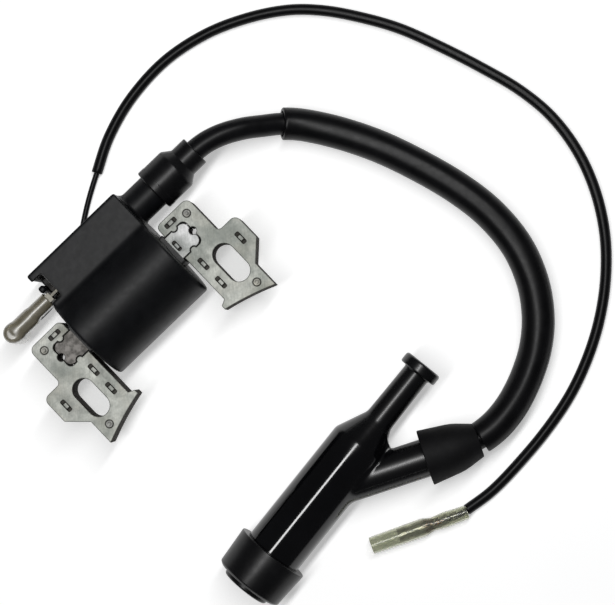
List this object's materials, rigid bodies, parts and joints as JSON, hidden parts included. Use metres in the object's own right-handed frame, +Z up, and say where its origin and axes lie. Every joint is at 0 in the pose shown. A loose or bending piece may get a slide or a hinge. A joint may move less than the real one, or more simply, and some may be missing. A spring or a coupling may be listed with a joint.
{
  "type": "small engine ignition coil",
  "caption": "Ignition coil on a two-legged laminated core, with a sleeved high-tension lead to a Y-shaped spark plug cap and a stop wire with a bullet connector.",
  "frame": {"origin": "on the surface the coil lies on, under the middle of the coil itself, leads left out", "axes": "+X runs from the stop terminal's end of the case to the high-tension tower, along the line of the two mounting slots; +Y points away from the flywheel; +Z up"},
  "size_m": [0.176, 0.1721, 0.0304],
  "materials": {
    "lamination_steel": "zinc-washed electrical steel",
    "case_plastic": "satin moulded",
    "resin": "cast epoxy",
    "nylon": "black moulded nylon",
    "enamelled_copper": "enamelled wire",
    "circuit_board": "solder mask",
    "component_black": "moulded",
    "component_tan": "dipped",
    "brass": "plain",
    "tinned_metal": "dull tin plate",
    "milky_vinyl": "milky translucent",
    "clear_vinyl": "clear, slightly green",
    "rubber_black": "matt",
    "lead_jacket": "smooth",
    "sleeve_vinyl": "soft satin",
    "phenolic": "high gloss"
  },
  "bodies": {
    "root": {"core_leg_left": "lamination_steel", "core_leg_right": "lamination_steel", "core_bar": "lamination_steel", "core_rivets": "lamination_steel", "coil_case": "case_plastic", "potting_resin": "resin", "primary_bobbin": "nylon", "primary_winding": "enamelled_copper", "secondary_bobbin": "nylon", "secondary_winding": "enamelled_copper", "circuit_board": "circuit_board", "power_transistor": "component_black", "board_components": "component_tan", "ht_contact": "brass", "stop_tab": "tinned_metal", "flag_terminal": "tinned_metal", "flag_sleeve": "milky_vinyl", "tower_cap": "rubber_black", "ht_lead": "lead_jacket", "ht_lead_sleeve": "sleeve_vinyl", "stop_wire": "lead_jacket", "stop_wire_tube": "sleeve_vinyl", "bullet_receptacle": "tinned_metal", "wire_strands": "enamelled_copper", "bullet_sleeve": "clear_vinyl"},
    "plug_cap": {"plug_cap_body": "phenolic", "plug_terminal": "brass", "terminal_clip": "tinned_metal", "lead_screw": "tinned_metal", "lead_seal": "rubber_black"},
    "boot": {"plug_boot": "rubber_black"}
  },
  "joints": [
    {"name": "plug_cap_twist", "type": "hinge", "parent": "root", "child": "plug_cap", "pos_m": [0.0006, -0.0829, 0.0119], "axis": [0.9041, -0.4274, 0], "range_deg": [0, 150]},
    {"name": "plug_boot_pull", "type": "slide", "parent": "plug_cap", "child": "boot", "axis": [-0.9914, -0.1305, 0], "range_m": [0, 0.014]}
  ]
}
